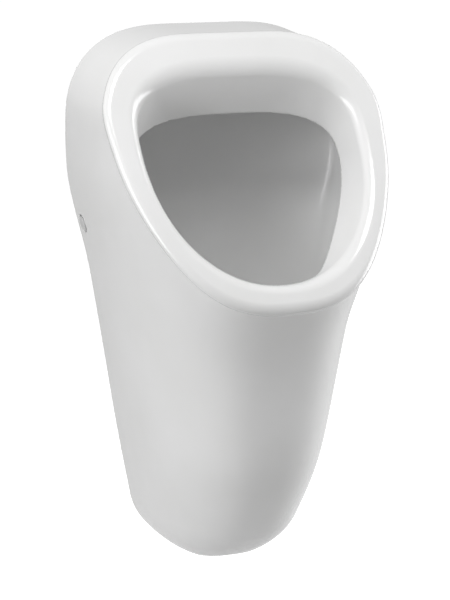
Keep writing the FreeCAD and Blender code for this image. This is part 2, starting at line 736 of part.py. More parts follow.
other_side = doc.addObject("Part::Mirroring", "left_side_holes")
other_side.Source = side_tools
other_side.Normal = FreeCAD.Vector(1, 0, 0)
doc.recompute()
holes = [drain_hole, inlet_hole, inlet_seat, side_tools, other_side]
ceramic = doc.addObject("Part::Feature", "ceramic_body")
ceramic.Shape = ceramic_blank().cut([hole.Shape for hole in holes]).Solids[0]
node(ceramic)


# -------------------------------------------------------------- cover caps

def cover_cap(label, side):
    skirt = "cap_radius - running_gap"
    bore = "cap_radius - running_gap - cap_skirt_wall"
    plate = "cap_skirt + cap_plate"
    depth = size("cap_skirt") + size("cap_plate") - size("cap_proud")
    profile = [
        ("0", "cap_skirt"), (bore, "cap_skirt"), (bore, "0"), (skirt, "0"),
        (skirt, "cap_skirt"), ("cap_radius", "cap_skirt"),
        ("cap_radius", plate + " - cap_proud"), (bore, plate), ("0", plate)]
    return turned(label, profile, on_side(side, depth))


node(cover_cap("right_cover_cap", RIGHT))
node(cover_cap("left_cover_cap", LEFT))


# ------------------------------------------------------------ side fixings

def bracket_block(name, start, length, width, rise):
    return box(name, length, width, rise,
               SIDE_FRAME * FreeCAD.Placement(start, FreeCAD.Rotation()))


ANCHOR_X = SIDE_FRAME.multVec(
    FreeCAD.Vector(-size("seat_depth") - size("anchor_inset"), 0, 0)).x


def anchor_place(side, level, y):
    """Axis of one wall screw: side is right or left, level is up or down the bracket."""
    return FreeCAD.Vector(side * ANCHOR_X, y, level * size("anchor_spacing") / 2)


ANCHORS = [(side, level) for side in (RIGHT, LEFT) for level in (1, -1)]


def wall_bracket():
    """Right bracket: one leg against the body's side, one against the wall."""
    seat_x = -size("seat_depth")
    wall_y = size("fixing_distance")
    foot_z = -size("bracket_height") / 2
    side_leg = bracket_block(
        "bracket_side_leg",
        FreeCAD.Vector(seat_x - size("bracket_steel"), wall_y - size("bracket_side"), foot_z),
        "bracket_steel", "bracket_side", "bracket_height")
    wall_leg = bracket_block(
        "bracket_wall_leg",
        FreeCAD.Vector(seat_x - size("bracket_back"), wall_y - size("bracket_steel"), foot_z),
        "bracket_back", "bracket_steel", "bracket_height")
    legs = joined("bracket_legs", [side_leg, wall_leg])
    bores = [cylinder("bracket_clamp_hole", "clamp_screw_radius + running_gap",
                      "bracket_steel + bracket_steel + bracket_steel",
                      on_side(RIGHT, size("seat_depth") + 2 * size("bracket_steel")))]
    for level in (1, -1):
        bores.append(cylinder(
            "bracket_wall_hole", "anchor_radius + running_gap",
            "bracket_steel + bracket_steel + bracket_steel",
            placed(anchor_place(RIGHT, level, -2 * size("bracket_steel")), TO_WALL)))
    return less("right_wall_bracket", legs, joined("bracket_bores", bores))


right_bracket = node(wall_bracket())
left_bracket = doc.addObject("Part::Mirroring", "left_wall_bracket")
left_bracket.Source = right_bracket
left_bracket.Normal = FreeCAD.Vector(1, 0, 0)
left_bracket.Label = "left_wall_bracket"
node(left_bracket)

sleeve_bore = "clamp_screw_radius + thread_gap"
sleeve = turned("one_screw_sleeve", [
    (sleeve_bore, "0"), ("sleeve_radius", "0"),
    ("sleeve_radius", "seat_depth - cap_recess"),
    ("cap_radius - running_gap", "seat_depth - cap_recess"),
    ("cap_radius - running_gap", "seat_depth - cap_recess + sleeve_flange"),
    (sleeve_bore, "seat_depth - cap_recess + sleeve_flange")], placed(FreeCAD.Vector()))
node(copies("screw_sleeves", sleeve,
            [on_side(side, size("seat_depth")) for side in (RIGHT, LEFT)]))

clamp_screw = turned("one_clamp_screw", [
    ("0", "0"), ("clamp_screw_radius", "0"), ("clamp_screw_radius", "clamp_screw_length"),
    ("clamp_head_radius", "clamp_screw_length"),
    ("clamp_head_radius", "clamp_screw_length + clamp_head"),
    ("0", "clamp_screw_length + clamp_head")], placed(FreeCAD.Vector()))
clamp_screw_tip = size("cap_recess") - size("sleeve_flange") + size("clamp_screw_length")
node(copies("clamp_screws", clamp_screw,
            [on_side(side, clamp_screw_tip) for side in (RIGHT, LEFT)]))

clamp_nut = less(
    "one_clamp_nut",
    hexagon("clamp_nut_blank", "clamp_nut_width", "clamp_nut", placed(FreeCAD.Vector())),
    cylinder("clamp_nut_bore", "clamp_screw_radius + thread_gap", "clamp_nut",
             placed(FreeCAD.Vector())))
clamp_nut_depth = size("seat_depth") + size("bracket_steel") + size("clamp_nut")
node(copies("clamp_nuts", clamp_nut,
            [on_side(side, clamp_nut_depth) for side in (RIGHT, LEFT)]))

washer_rear = -size("bracket_steel")
wall_washer = ring("one_wall_washer", "anchor_radius + running_gap", "washer_radius", "washer",
                   placed(FreeCAD.Vector()))
node(copies("wall_washers", wall_washer,
            [placed(anchor_place(side, level, washer_rear), TO_FRONT)
             for side, level in ANCHORS]))

wall_screw = joined("one_wall_screw", [
    hexagon("wall_screw_head", "anchor_head_width", "anchor_head", placed(FreeCAD.Vector())),
    cylinder("wall_screw_shank", "anchor_radius", "anchor_head + anchor_length",
             placed(FreeCAD.Vector()))])
screw_front = washer_rear - size("washer") - size("anchor_head")
node(copies("wall_screws", wall_screw,
            [placed(anchor_place(side, level, screw_front), TO_WALL)
             for side, level in ANCHORS]))

plug_bore = "anchor_radius + thread_gap"
wall_plug = turned("one_wall_plug", [
    (plug_bore, "0"), ("plug_radius", "0"), ("plug_radius", "plug_length"),
    ("0", "plug_length"), ("0", "plug_bore"), (plug_bore, "plug_bore")],
    placed(FreeCAD.Vector()))
node(copies("wall_plugs", wall_plug,
            [placed(anchor_place(side, level, 0), TO_WALL) for side, level in ANCHORS]))


# ------------------------------------------------------------- water inlet

def flush_spreader():
    """Threaded stem through the bowl's back, flange, and a head that throws water down."""
    shoulder = "bowl_back + gasket - stem_rear"
    flange = shoulder + " + spreader_flange"
    tip = flange + " + spreader_head"
    blank = turned("spreader_blank", [
        ("stem_bore", "0"), ("stem_radius", "0"), ("stem_radius", shoulder),
        ("spreader_flange_radius", shoulder), ("spreader_flange_radius", flange),
        ("spreader_head_radius", flange), ("spreader_head_radius", tip), ("0", tip),
        ("0", tip + " - spreader_flange"), ("jet_bore", tip + " - spreader_flange"),
        ("jet_bore", "stem_socket"), ("stem_bore", "stem_socket")],
        on_inlet(-size("stem_rear")))
    head_start = -size("bowl_back") - GASKET - size("spreader_flange")
    slot = box("spreader_slot", "jet_bore + jet_bore", "jet_bore + jet_bore",
               "spreader_head_radius + gasket",
               FreeCAD.Placement(
                   FreeCAD.Vector(-size("jet_bore"),
                                  head_start - size("spreader_head") + size("gasket"),
                                  INLET_Z - size("spreader_head_radius") - GASKET),
                   FreeCAD.Rotation()))
    return less("flush_spreader", blank, slot)


node(flush_spreader())
node(ring("spreader_gasket", "stem_radius + running_gap", "spreader_flange_radius", "gasket",
          on_inlet(-size("bowl_back"))))
rear_face = -size("bowl_back") + size("bowl_wall")
node(ring("spreader_rear_washer", "stem_radius + running_gap", "spreader_flange_radius",
          "gasket", on_inlet(rear_face, TO_WALL)))
node(less("spreader_locknut",
          hexagon("locknut_blank", "locknut_width", "locknut",
                  on_inlet(rear_face + GASKET, TO_WALL)),
          cylinder("locknut_bore", "stem_radius + thread_gap", "locknut",
                   on_inlet(rear_face + GASKET, TO_WALL))))
node(ring("inlet_seal", "inlet_spigot_radius", "stem_bore", "inlet_seal",
          on_inlet(-size("inlet_seal_rear"))))
inlet_bore = "inlet_pipe_radius - inlet_pipe_wall"
inlet_length = "inlet_pipe_front + inlet_pipe_in_wall"
node(turned("inlet_pipe", [
    (inlet_bore, "0"), ("inlet_spigot_radius", "0"),
    ("inlet_spigot_radius", "inlet_pipe_front"), ("inlet_pipe_radius", "inlet_pipe_front"),
    ("inlet_pipe_radius", inlet_length), (inlet_bore, inlet_length)],
    on_inlet(-size("inlet_pipe_front"), TO_WALL)))


# ----------------------------------------------------------- trap and waste

def trap_housing():
    """Cup under the bowl floor with a threaded mouth and a side socket to the wall."""
    top = "housing_depth - gasket"
    mouth = top + " - neck_length + clamp_flange + bowl_wall"
    bore = "housing_radius - housing_wall"
    chamfer = "housing_chamfer"
    cup = turned("housing_cup", [
        ("0", "0"), ("housing_radius - housing_chamfer", "0"),
        ("housing_radius", chamfer),
        ("housing_radius", top + " - housing_flange"),
        ("housing_flange_radius", top + " - housing_flange"),
        ("housing_flange_radius", top), ("neck_radius + thread_gap", top),
        ("neck_radius + thread_gap", mouth), (bore, mouth + " - housing_wall"),
        (bore, chamfer), ("housing_radius - housing_chamfer", "housing_wall"),
        ("0", "housing_wall")],
        on_drain(UNDERSIDE_Z - size("housing_depth")))
    reach = "drain_distance - pipe_start - gasket"
    socket = cylinder("housing_socket", "socket_radius", reach, on_outlet(DRAIN_Y))
    foot = on_drain(UNDERSIDE_Z - size("housing_depth") + size("housing_chamfer"))
    inside = cylinder("housing_inside", bore, "housing_depth - neck_length - neck_length", foot)
    mouth_way = cylinder("housing_mouth_way", "neck_radius + thread_gap", "housing_depth", foot)
    way_out = cylinder("housing_outlet", "pipe_radius - pipe_wall", reach, on_outlet(DRAIN_Y))
    return less("trap_housing", joined("housing_blank", [cup, socket]),
                joined("housing_ways", [inside, mouth_way, way_out]))


node(trap_housing())
node(ring("housing_gasket", "drain_hole_radius", "housing_flange_radius - gasket", "gasket",
          on_drain(UNDERSIDE_Z - GASKET)))
node(ring("flange_gasket", "drain_hole_radius", "clamp_flange_radius", "gasket",
          on_drain(FLOOR_Z)))
node(turned("clamp_flange", [
    ("neck_radius - neck_wall", "0"), ("neck_radius", "0"), ("neck_radius", "neck_length"),
    ("clamp_flange_radius", "neck_length"),
    ("clamp_flange_radius", "neck_length + clamp_flange"),
    ("neck_radius - neck_wall", "neck_length + clamp_flange")],
    on_drain(FLOOR_Z + GASKET - size("neck_length"))))

FLANGE_TOP_Z = FLOOR_Z + GASKET + size("clamp_flange")


def dip_tube():
    """Tube that dips into the water of the trap; its collar rests on the clamp flange."""
    outside = "dip_tube_radius"
    bore = "dip_tube_radius - dip_tube_wall"
    groove = "dip_tube_radius - seal_radius - thread_gap"
    seat_level = "dip_tube_depth + thread_gap"
    low = "dip_tube_depth - neck_wall - neck_wall - neck_wall"
    high = low + " + seal_radius + seal_radius + running_gap"
    return turned("dip_tube", [
        (bore, "0"), (outside, "0"), (outside, low), (groove, low), (groove, high),
        (outside, high), (outside, seat_level), ("dip_collar_radius", seat_level),
        ("dip_collar_radius", seat_level + " + dip_collar"), (bore, seat_level + " + dip_collar")],
        on_drain(FLANGE_TOP_Z - size("dip_tube_depth")))


node(dip_tube())
dip_seal = doc.addObject("Part::Torus", "dip_tube_seal")
dip_seal.Label = "dip_tube_seal"
bind(dip_seal, "Radius1", "dip_tube_radius - thread_gap")
bind(dip_seal, "Radius2", "seal_radius")
dip_seal.Placement = on_drain(FLANGE_TOP_Z - 3 * size("neck_wall") + size("seal_radius")
                              + size("thread_gap"))
node(dip_seal)


def strainer():
    """Crowned plate with two rings of holes and a spigot that centres it in the dip tube."""
    spigot = "dip_tube_radius - dip_tube_wall - running_gap"
    inner = spigot + " - strainer_wall"
    rim = "strainer_spigot"
    top = rim + " + strainer_plate"
    body = turned("strainer", [
        (inner, "0"), (spigot, "0"), (spigot, rim), ("strainer_radius", rim),
        ("strainer_radius", top), (spigot, top), ("0", top + " + strainer_crown"),
        ("0", rim + " + strainer_crown"), (inner, rim)],
        on_drain(FLANGE_TOP_Z + size("thread_gap") * 2 + size("dip_collar")
                 - size("strainer_spigot")))
    doc.recompute()
    hole_circle = size("dip_tube_radius") - size("dip_tube_wall") - 3 * size("strainer_hole_radius")
    for circle, count in ((hole_circle, 12), (hole_circle * 0.5, 6)):
        pattern_holes(body, circle, count)
    return body


def pattern_holes(body, circle, count):
    before = body.Shape.Volume
    sketch = body.newObject("Sketcher::SketchObject", f"{body.Label}_holes_{count}")
    plane = next(f for f in body.Origin.OriginFeatures if f.Role == "XY_Plane")
    sketch.AttachmentSupport = (plane, [""])
    sketch.MapMode = "FlatFace"
    sketch.addGeometry(Part.Circle(FreeCAD.Vector(circle, 0, 0), UP,
                                   size("strainer_hole_radius")), False)
    radius = sketch.addConstraint(
        Sketcher.Constraint("Radius", 0, size("strainer_hole_radius")))
    bind(sketch, f"Constraints[{radius}]", "strainer_hole_radius")
    sketch.addConstraint(Sketcher.Constraint("PointOnObject", 0, 3, -1))
    sketch.addConstraint(Sketcher.Constraint("DistanceX", -1, 1, 0, 3, circle))
    pocket = body.newObject("PartDesign::Pocket", f"{body.Label}_pocket_{count}")
    pocket.Profile = sketch
    pocket.Type = "ThroughAll"
    pocket.Reversed = True
    body.Tip = pocket
    doc.recompute()
    pattern = body.newObject("PartDesign::PolarPattern", f"{body.Label}_pattern_{count}")
    pattern.Originals = [pocket]
    pattern.Axis = (sketch, ["N_Axis"])
    pattern.Angle = 360
    pattern.Occurrences = count
    body.Tip = pattern
    doc.recompute()
    if body.Shape.Volume >= before:
        raise RuntimeError("the strainer's holes cut nothing")


node(strainer())

node(ring("outlet_seal", "pipe_radius - pipe_wall", "pipe_collar_radius", "gasket",
          on_outlet(-size("pipe_start") - GASKET)))
pipe_bore = "pipe_radius - pipe_wall"
node(turned("waste_pipe", [
    (pipe_bore, "0"), ("pipe_collar_radius", "0"), ("pipe_collar_radius", "pipe_collar"),
    ("pipe_front_radius", "pipe_collar"), ("pipe_front_radius", "pipe_start + pipe_shoulder"),
    ("pipe_radius", "pipe_start + pipe_shoulder"), ("pipe_radius", "pipe_start + pipe_in_wall"),
    (pipe_bore, "pipe_start + pipe_in_wall")], on_outlet(-size("pipe_start"))))
union_bore = "socket_radius + thread_gap"
union_inside = "union_length - union_lip"
node(turned("union_nut", [
    (union_bore, "0"), ("union_radius", "0"), ("union_radius", "union_length"),
    ("pipe_front_radius + running_gap", "union_length"),
    ("pipe_front_radius + running_gap", union_inside),
    (union_bore, union_inside)],
    on_outlet(-size("pipe_start") + size("pipe_collar") + size("union_lip")
              - size("union_length"))))
node(turned("wall_collar", [
    ("pipe_front_radius", "0"), ("pipe_front_radius + pipe_wall", "0"),
    ("collar_radius", "collar_width - gasket"), ("collar_radius", "collar_width"),
    ("pipe_front_radius", "collar_width")], on_outlet(-size("collar_width"))))


# ------------------------------------------------------------------ output

doc.recompute()
faults = [thing.Name for thing in doc.Objects
          if "Invalid" in thing.State or "Error" in thing.State]
for thing in NODES:
    if thing.Shape.isNull() or not thing.Shape.isValid() or not thing.Shape.Solids:
        faults.append(thing.Label)
if faults:
    raise RuntimeError("not built: " + ", ".join(faults))

os.makedirs("parts", exist_ok=True)
for thing in NODES:
    thing.Shape.exportStep(os.path.join("parts", thing.Label + ".step"))
    bounds = thing.Shape.BoundBox
    print(f"{thing.Label}: {len(thing.Shape.Solids)} solid(s), "
          f"{thing.Shape.Volume / 1000:.1f} cm3, z {bounds.ZMin:.1f} to {bounds.ZMax:.1f}")
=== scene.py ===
import itertools
import json
import math

import bpy
import numpy as np
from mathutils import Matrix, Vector


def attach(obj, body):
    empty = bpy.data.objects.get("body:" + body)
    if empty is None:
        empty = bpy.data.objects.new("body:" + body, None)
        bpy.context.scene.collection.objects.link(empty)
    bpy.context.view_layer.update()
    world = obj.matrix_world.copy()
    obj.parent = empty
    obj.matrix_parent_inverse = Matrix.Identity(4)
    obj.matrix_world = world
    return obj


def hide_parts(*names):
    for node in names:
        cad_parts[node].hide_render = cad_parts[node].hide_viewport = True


# Wall hung urinal: the glazed body as one smooth shell around its fixings, inlet and trap.
# The form is worked out in millimetres from the bottom of the body (h), from the wall (d)
# and from the middle (x); Blender gets metres in the frame's own axes.

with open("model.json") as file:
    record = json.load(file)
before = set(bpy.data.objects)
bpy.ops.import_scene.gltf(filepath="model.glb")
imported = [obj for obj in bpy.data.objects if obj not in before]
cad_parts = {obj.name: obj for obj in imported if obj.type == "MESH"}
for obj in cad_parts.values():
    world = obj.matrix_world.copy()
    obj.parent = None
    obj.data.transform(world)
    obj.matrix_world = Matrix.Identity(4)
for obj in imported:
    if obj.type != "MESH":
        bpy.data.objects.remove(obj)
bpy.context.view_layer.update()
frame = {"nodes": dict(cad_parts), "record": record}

MM = 0.001
BASE = -390.0                   # the origin is the middle of the four wall screws

# ------------------------------------------------------------------ sizes, in millimetres

BOTTOM = 0.4                    # the lowest point of the body, from the bottom level
TOP = 600.0                     # bottom of the body to its top at the wall
TOP_DEPTH = 86.0                # wall to the start of the sloping face
TOP_FALL = 8.2                  # how much lower the top is there
LIP_HEIGHT = 338.0
LIP_DEPTH = 259.0
LIP_BACK = 7.0                  # how far the sides stand back from the lip at its height
SHOULDER = 468.0                # where the sides stop widening
SHOULDER_HALF_WIDTH = 156.8
SHELL_WALL = 12.0
BOTTOM_ROUNDING = 66.0
EDGE_ROUNDING = 6.0             # outer edge of the face
CREASE_ROUNDING = 10.0          # edge between the face and the funnel
REAR_ROUNDING = 2.0
INSIDE_ROUNDING = 10.0          # where the shell and the bowl meet, seen from behind

# the arched top
ARCH_POWER = 2.8
ARCH_FLAT = 32.0                # half width of its level middle
ARCH_ROOM = 1.5                 # how much wider it starts than the sides
ARCH_BLEND = 5.0

# height, half width, depth, superellipse power of the outside at each level
LEVELS = [
    (0.0, 77.0, 119.0, 2.3),
    (158.0, 105.0, 211.0, 2.5),
    (245.0, 118.0, 225.0, 2.6),
    (297.0, 126.0, 233.0, 2.65),
    (LIP_HEIGHT, 132.5, LIP_DEPTH - LIP_BACK, 2.7),
    (SHOULDER, SHOULDER_HALF_WIDTH, 300.0, 2.8),
    (TOP, SHOULDER_HALF_WIDTH, 343.0, 2.9),
]

# the rolled rim around the face, and how far it stands out of the sides at each height
RIM_THICKNESS = 10.0
RIM_PROUD = 7.0
RIM_LEAST = 2.2
RIM_FADE_HEIGHT = 450.0
RIM_BLEND = 1.0
RIM_GROWTH = [(0.0, RIM_PROUD), (LIP_HEIGHT, RIM_PROUD), (RIM_FADE_HEIGHT, RIM_LEAST),
              (TOP, RIM_LEAST)]

# the funnel in the sloping face; slope distances run down from the face's top edge, and
# the insets say how much its outline shrinks down to its full depth
BAND_TOP = 37.0
BAND_BOTTOM = 26.0
FUNNEL_HALF_WIDTH = 121.0
FUNNEL_WIDEST = 119.0           # slope distance of the widest place
FUNNEL_SHIFT = 8.0              # how much further down that place is at the full depth
FUNNEL_DEPTH = 60.0
FUNNEL_TOP_POWER = 3.0
FUNNEL_BOTTOM_POWER = 2.2
FUNNEL_DEEP_POWER = 1.6
FUNNEL_INSET_TOP = 41.0
FUNNEL_INSET_SIDE = 7.0
FUNNEL_INSET_BOTTOM = 20.0
FUNNEL_SHARES = (-0.3, 1.2)     # shares of the depth between which the outline changes

# the skirt: the wall behind the funnel's flank, down to its free lower edge
SKIRT_WALL = 9.0
SKIRT_DEPTH_TOP = 48.0
SKIRT_DEPTH_BOTTOM = 6.0
SKIRT_BULGE = 6.0               # how much deeper the edge is half way down
SKIRT_POWER = 5
SKIRT_ROUNDING = 4.0
SKIRT_SHARES = (-0.1, 1.1)

# the bowl
BOWL_WALL = 10.0
BOWL_FLOOR = 173.0
BOWL_TOP = 553.0
BOWL_BACK = 34.0
BOWL_REACH = 279.0              # wall to its front, were it not cut by the face
BOWL_DOME = 36.0
BOWL_FLOOR_ROUNDING = 16.0
BOWL_REAR_POWER = 2.6
BOWL_FRONT_POWER = 2.3

# height, half width, back, front, depth of the curved back of the bowl at each level
BOWL_LEVELS = [
    (BOWL_FLOOR, 42.0, 40.0, 120.0, 38.0),
    (187.0, 58.0, 37.0, 142.0, 42.0),
    (217.0, 78.0, BOWL_BACK, 174.0, 48.0),
    (265.0, 102.0, BOWL_BACK, 202.0, 54.0),
    (317.0, 116.0, BOWL_BACK, 224.0, 60.0),
    (348.0, 120.5, BOWL_BACK, 242.0, 60.0),
    (SHOULDER, 144.0, BOWL_BACK, BOWL_REACH, 60.0),
    (515.0, 140.0, BOWL_BACK, BOWL_REACH, 60.0),
    (TOP, 138.0, BOWL_BACK, BOWL_REACH, 60.0),
]

# holes
HOLE_ROUNDING = 1.0
DRAIN_RADIUS = 30.0
DRAIN_DISTANCE = 78.0
DRAIN_ROUNDING = 2.0
DRAIN_CUT = 30.0                # how far above the bowl's floor its cut ends
INLET_HEIGHT = 526.0
INLET_RADIUS = 17.5
INLET_CUT = 20.0                # how far in front of the bowl's back its cut ends
FIXING_HEIGHT = -BASE
FIXING_DISTANCE = 20.0
CAP_RECESS_RADIUS = 9.8
CAP_RECESS_DEPTH = 7.0
SCREW_HOLE_RADIUS = 6.5

# the sloping face, from the top edge down to the lip
FACE_START = TOP - TOP_FALL
FACE_DROP = FACE_START - LIP_HEIGHT
FACE_REACH = LIP_DEPTH - TOP_DEPTH
SLOPE_LENGTH = math.hypot(FACE_DROP, FACE_REACH)
SLOPE_COS = FACE_REACH / SLOPE_LENGTH
SLOPE_SIN = FACE_DROP / SLOPE_LENGTH

# ------------------------------------------------------------------ curves along the height

TABLE_MARGIN = 60.0             # how far the tables go on below the bottom and above the top
TABLE_STEP = 1.0
KNOT_SOFTENING = 9.0            # spread of the bell curve that softens them at the knots
SOFTENING_REACH = 3             # in spreads


def knot_tangents(spans, slopes):
    """Slopes at the knots that let the curve rise or fall only where the knots do."""
    tangents = np.empty(len(slopes) + 1)
    tangents[0], tangents[-1] = slopes[0], slopes[-1]
    for k in range(1, len(slopes)):
        before, after = slopes[k - 1], slopes[k]
        if before * after <= 0:
            tangents[k] = 0.0
        else:
            wide, near = 2 * spans[k] + spans[k - 1], spans[k] + 2 * spans[k - 1]
            tangents[k] = (wide + near) / (wide / before + near / after)
    return tangents


def hermite(t, span, start, end, start_tangent, end_tangent):
    """Cubic curve across one span, t from 0 to 1."""
    return (start * (1 + 2 * t) * (1 - t) ** 2 + end * t * t * (3 - 2 * t)
            + span * (start_tangent * t * (1 - t) ** 2 + end_tangent * t * t * (t - 1)))


def smooth_table(knots):
    """Values at every step of height through (height, value) knots."""
    heights = np.arange(-TABLE_MARGIN, TOP + TABLE_MARGIN + TABLE_STEP, TABLE_STEP)
    xs, ys = np.array(knots).T
    spans = np.diff(xs)
    tangents = knot_tangents(spans, np.diff(ys) / spans)
    cell = np.clip(np.searchsorted(xs, heights) - 1, 0, len(spans) - 1)
    inside = np.clip((heights - xs[cell]) / spans[cell], 0, 1)
    values = hermite(inside, spans[cell], ys[cell], ys[cell + 1],
                     tangents[cell], tangents[cell + 1])
    values = values + np.minimum(heights - xs[0], 0) * tangents[0]
    values = values + np.maximum(heights - xs[-1], 0) * tangents[-1]
    reach = SOFTENING_REACH * KNOT_SOFTENING
    offsets = np.arange(-reach, reach + TABLE_STEP, TABLE_STEP)
    weights = np.exp(-0.5 * (offsets / KNOT_SOFTENING) ** 2)
    padded = np.pad(values, len(offsets) // 2, mode="reflect", reflect_type="odd")
    return heights, np.convolve(padded, weights / weights.sum(), mode="valid")


def curve(knots):
    """Function of height that gives the smooth curve's value and its slope."""
    heights, values = smooth_table(knots)
    slopes = np.gradient(values, heights)
    last = len(values) - 1.001  # just inside the last cell

    def at(h):
        place = np.clip((h - heights[0]) / TABLE_STEP, 0, last)
        k = place.astype(int)
        t = place - k
        value = hermite(t, TABLE_STEP, values[k], values[k + 1], slopes[k], slopes[k + 1])
        return value, slopes[k] * (1 - t) + slopes[k + 1] * t

    return at


def column_curve(levels, column):
    return curve([(row[0], row[column]) for row in levels])


def at_height(smooth, h):
    """Value and slope of a curve at one height."""
    value, slope = smooth(np.array([h]))
    return value[0], slope[0]


half_width, depth, roundness = (column_curve(LEVELS, k) for k in (1, 2, 3))
bowl_half_width, bowl_back, bowl_front, bowl_curved = (
    column_curve(BOWL_LEVELS, k) for k in (1, 2, 3, 4))
rim_growth = curve(RIM_GROWTH)

ARCH_START, _ = at_height(half_width, SHOULDER)
FIXING_HALF_WIDTH, FIXING_SLOPE = at_height(half_width, FIXING_HEIGHT)

# ------------------------------------------------------------------ distances

TINY = 1e-6


def oval_distance(x, y, a, b, power, a_slope=0.0, b_slope=0.0):
    """About the distance to the superellipse |x/a|^power + |y/b|^power = 1 of each level."""
    across = np.abs(x) / a + TINY
    along = np.abs(y) / b + TINY
    q = (across ** power + along ** power) ** (1 / power)
    pull = q ** (1 - power)
    gx = pull * across ** (power - 1) / a
    gy = pull * along ** (power - 1) / b
    gh = across * gx * a_slope + along * gy * b_slope
    return (q - 1) / np.sqrt(gx * gx + gy * gy + gh * gh)


def round_max(a, b, radius):
    """Where both solids meet, an edge rounded with this radius."""
    corner = np.hypot(np.maximum(a + radius, 0), np.maximum(b + radius, 0)) - radius
    return np.where((a > -radius) & (b > -radius), corner, np.maximum(a, b))


def round_min(a, b, radius):
    """Both solids together, the corner between them filled with this radius."""
    return -round_max(-a, -b, radius)


def blend_max(a, b, width):
    """Where both solids meet, softened wherever their surfaces come this close together."""
    near = np.maximum(1 - np.abs(a - b) / width, 0)
    return np.maximum(a, b) + near * near * width / 4


def blend_min(a, b, width):
    """Both solids together, softened in the same way."""
    return -blend_max(-a, -b, width)


def sides_distance(x, d, h, grow, top_grow):
    """The D-shaped body under its arched top, before the face is cut."""
    w, w_slope = half_width(h)
    reach, reach_slope = depth(h)
    power, _ = roundness(h)
    low = oval_distance(x, np.maximum(d, 0), w + grow, reach + grow, power,
                        w_slope, reach_slope)
    low = round_max(low, BOTTOM - h, BOTTOM_ROUNDING)
    rise = TOP - SHOULDER + top_grow
    spread = ARCH_START + ARCH_ROOM + top_grow - ARCH_FLAT
    across = np.maximum(np.abs(x) - ARCH_FLAT, 0)
    up = np.maximum(h - SHOULDER + TOP_FALL * d / TOP_DEPTH, 0)
    high = oval_distance(across, up, spread, rise, ARCH_POWER)
    return blend_max(low, high, ARCH_BLEND)


def face_place(d, h):
    """(distance down the slope, height above the face)."""
    v = (d - TOP_DEPTH) * SLOPE_COS - (h - FACE_START) * SLOPE_SIN
    s = (d - TOP_DEPTH) * SLOPE_SIN + (h - FACE_START) * SLOPE_COS
    return v, s


def funnel_distance(x, v, s):
    """The flank of the funnel; its outline shrinks with the depth below the face."""
    share = np.clip(-s / FUNNEL_DEPTH, *FUNNEL_SHARES)
    widest = FUNNEL_WIDEST + FUNNEL_SHIFT * share
    wide = FUNNEL_HALF_WIDTH - FUNNEL_INSET_SIDE * share
    upper = widest - BAND_TOP - FUNNEL_INSET_TOP * share
    lower = SLOPE_LENGTH - BAND_BOTTOM - widest - FUNNEL_INSET_BOTTOM * share
    power = FUNNEL_BOTTOM_POWER + (FUNNEL_DEEP_POWER - FUNNEL_BOTTOM_POWER) * share
    side_slope = FUNNEL_INSET_SIDE / FUNNEL_DEPTH
    top = oval_distance(x, v - widest, wide, upper, FUNNEL_TOP_POWER,
                        side_slope, FUNNEL_INSET_TOP / FUNNEL_DEPTH)
    bottom = oval_distance(x, v - widest, wide, lower, power,
                           side_slope, FUNNEL_INSET_BOTTOM / FUNNEL_DEPTH)
    flank = np.where(v < widest, top, bottom)
    return np.maximum(flank, -s - FUNNEL_DEPTH)


def skirt_sheet(v, s):
    """Distance behind the curved sheet that the lower edge of the skirt lies in."""
    top_v = BAND_TOP + FUNNEL_INSET_TOP * SKIRT_DEPTH_TOP / FUNNEL_DEPTH
    run = SLOPE_LENGTH - BAND_BOTTOM - top_v
    fall = SKIRT_DEPTH_TOP - SKIRT_DEPTH_BOTTOM
    share = np.clip((v - top_v) / run, *SKIRT_SHARES)
    sheet = SKIRT_DEPTH_TOP - fall * np.abs(share) ** SKIRT_POWER
    sheet = sheet + SKIRT_BULGE * 4 * share * (1 - share)
    slope = (SKIRT_BULGE * 4 * (1 - 2 * share)
             - SKIRT_POWER * fall * np.abs(share) ** (SKIRT_POWER - 1)) / run
    return (-s - sheet) / np.sqrt(1 + slope ** 2)


def bowl_distance(x, d, h):
    """The room inside the bowl, with its domed top and its rounded floor."""
    level = np.clip(h, BOWL_FLOOR, BOWL_TOP)
    a, a_slope = bowl_half_width(level)
    back, _ = bowl_back(level)
    front, front_slope = bowl_front(level)
    curved, _ = bowl_curved(level)
    middle = back + curved
    rear = oval_distance(x, d - middle, a, curved, BOWL_REAR_POWER, a_slope)
    fore = oval_distance(x, d - middle, a, front - middle, BOWL_FRONT_POWER,
                         a_slope, front_slope)
    walls = np.where(d < middle, rear, fore)
    walls = round_max(walls, h - BOWL_TOP, BOWL_DOME)
    return round_max(walls, BOWL_FLOOR - h, BOWL_FLOOR_ROUNDING)


def outside_distance(x, d, h, s, body):
    """The body with its rolled rim, cut by the sloping face."""
    growth, _ = rim_growth(h)
    rim = sides_distance(x, d, h, growth, RIM_LEAST)
    rim = round_max(rim, -s - RIM_THICKNESS, EDGE_ROUNDING)
    return round_max(blend_min(body, rim, growth + RIM_BLEND), s, EDGE_ROUNDING)


def walls_distance(x, d, h, v, s, body, funnel):
    """Everything but the hollows: the shell, the bowl's wall and the skirt."""
    bowl = bowl_distance(x, d, h)
    behind_shell = np.maximum(body + SHELL_WALL, s + SHELL_WALL)
    bowl_wall = np.maximum(bowl - BOWL_WALL, -bowl)
    walls = round_min(-behind_shell, bowl_wall, INSIDE_ROUNDING)
    walls = round_max(walls, -funnel, SKIRT_ROUNDING)
    skirt = np.maximum(funnel - SKIRT_WALL, -funnel)
    skirt = round_max(skirt, skirt_sheet(v, s), SKIRT_ROUNDING)
    return round_min(walls, skirt, SKIRT_ROUNDING)


